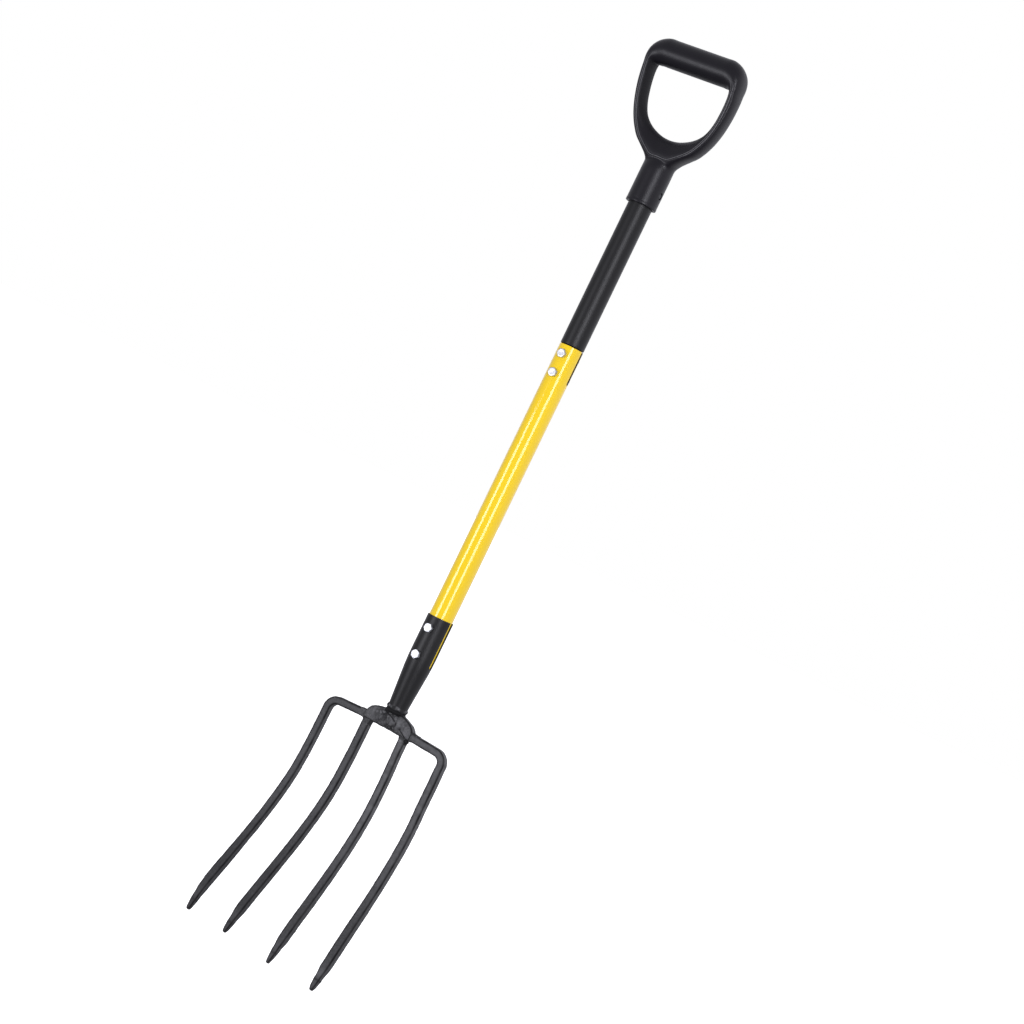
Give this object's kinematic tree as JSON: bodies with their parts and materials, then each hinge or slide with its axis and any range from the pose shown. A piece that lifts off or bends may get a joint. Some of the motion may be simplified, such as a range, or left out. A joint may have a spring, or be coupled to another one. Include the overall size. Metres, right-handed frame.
{
  "type": "digging fork",
  "caption": "Garden digging fork: forward-curved square tines on a welded crown, bolted socket, two-piece steel tube shaft and moulded D-handle.",
  "frame": {"origin": "on the shaft axis, halfway along the exposed yellow lower tube, where a tool clip holds the shaft", "axes": "+Z along the shaft towards the D-handle; -Y is the front, with the bolt heads, towards which the tines and the D-handle lean; +X to the right seen from the front"},
  "size_m": [0.2027, 0.1019, 1.1727],
  "materials": {
    "forged_steel": "dark grey hammered coating over forged steel",
    "black_paint": "satin black paint",
    "yellow_paint": "gloss yellow paint",
    "handle_plastic": "satin black moulded plastic",
    "zinc": "bright zinc plate",
    "screw_steel": "black oxide"
  },
  "bodies": {
    "root": {"outer_tine_left": "forged_steel", "inner_tine_left": "forged_steel", "inner_tine_right": "forged_steel", "outer_tine_right": "forged_steel", "head_crown": "forged_steel", "neck_weld": "forged_steel", "tine_welds": "forged_steel", "socket": "black_paint", "lower_tube": "yellow_paint", "upper_tube": "black_paint", "d_handle": "handle_plastic", "handle_screws": "screw_steel", "socket_bolts": "zinc", "socket_flat_washers": "zinc", "socket_lock_washers": "zinc", "socket_nuts": "zinc", "joint_bolts": "zinc", "joint_flat_washers": "zinc", "joint_lock_washers": "zinc", "joint_nuts": "zinc"}
  },
  "joints": []
}
